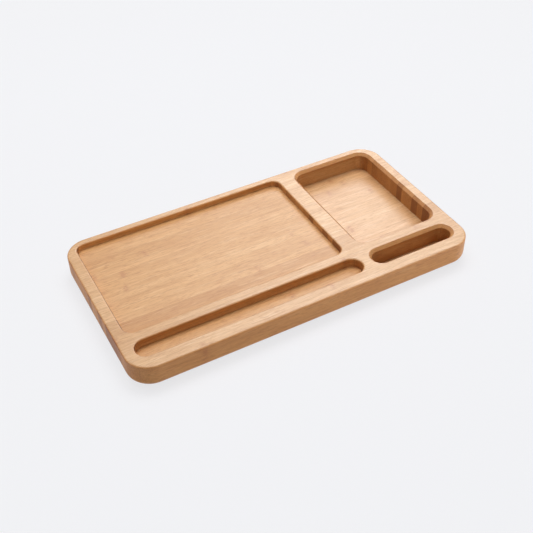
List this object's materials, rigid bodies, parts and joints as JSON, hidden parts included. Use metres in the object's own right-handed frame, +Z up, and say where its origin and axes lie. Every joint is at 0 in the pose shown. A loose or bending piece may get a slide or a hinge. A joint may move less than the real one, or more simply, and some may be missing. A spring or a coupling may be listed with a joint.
{
  "type": "bamboo valet tray with wireless phone charger",
  "caption": "Flat bamboo valet tray with milled pockets for a phone, keys, a pen and clips, and a wireless charging coil under the phone pocket.",
  "frame": {"origin": "under the middle of the tray, on the surface that the feet stand on", "axes": "+X along the tray from the phone pocket to the key pocket, +Y from the pen groove's edge to the back edge with the charging port, +Z up"},
  "size_m": [0.267, 0.142, 0.02],
  "materials": {
    "bamboo": "satin, clear matt oil on laminated bamboo",
    "cover_plastic": "fine matt texture",
    "foot_silicone": "soft matt silicone",
    "screw_steel": "zinc plated",
    "board_laminate": "green solder mask",
    "foam": "closed-cell foam tape",
    "ferrite": "sintered, dull",
    "coil_copper": "enamelled copper",
    "socket_steel": "nickel plated",
    "socket_plastic": "moulded",
    "contact_gold": "gold plated",
    "chip_plastic": "epoxy moulded package",
    "choke_ferrite": "pressed powder body",
    "capacitor_ceramic": "ceramic chip",
    "light_plastic": "clear light guide",
    "led_plastic": "white package"
  },
  "bodies": {
    "root": {"tray_body": "bamboo", "base_cover": "cover_plastic", "cover_screws": "screw_steel", "circuit_board": "board_laminate", "board_screws": "screw_steel", "foam_pad": "foam", "ferrite_disc": "ferrite", "transmitter_coil": "coil_copper", "usb_socket_shell": "socket_steel", "usb_socket_tongue": "socket_plastic", "usb_socket_contacts": "contact_gold", "controller_chip": "chip_plastic", "bridge_chip_left": "chip_plastic", "bridge_chip_right": "chip_plastic", "input_choke": "choke_ferrite", "resonance_capacitors": "capacitor_ceramic", "input_capacitors": "capacitor_ceramic", "sense_resistor": "chip_plastic", "temperature_sensor": "capacitor_ceramic", "status_led": "led_plastic", "light_guide": "light_plastic", "foot_front_left": "foot_silicone", "foot_front_right": "foot_silicone", "foot_back_left": "foot_silicone", "foot_back_right": "foot_silicone"}
  },
  "joints": []
}
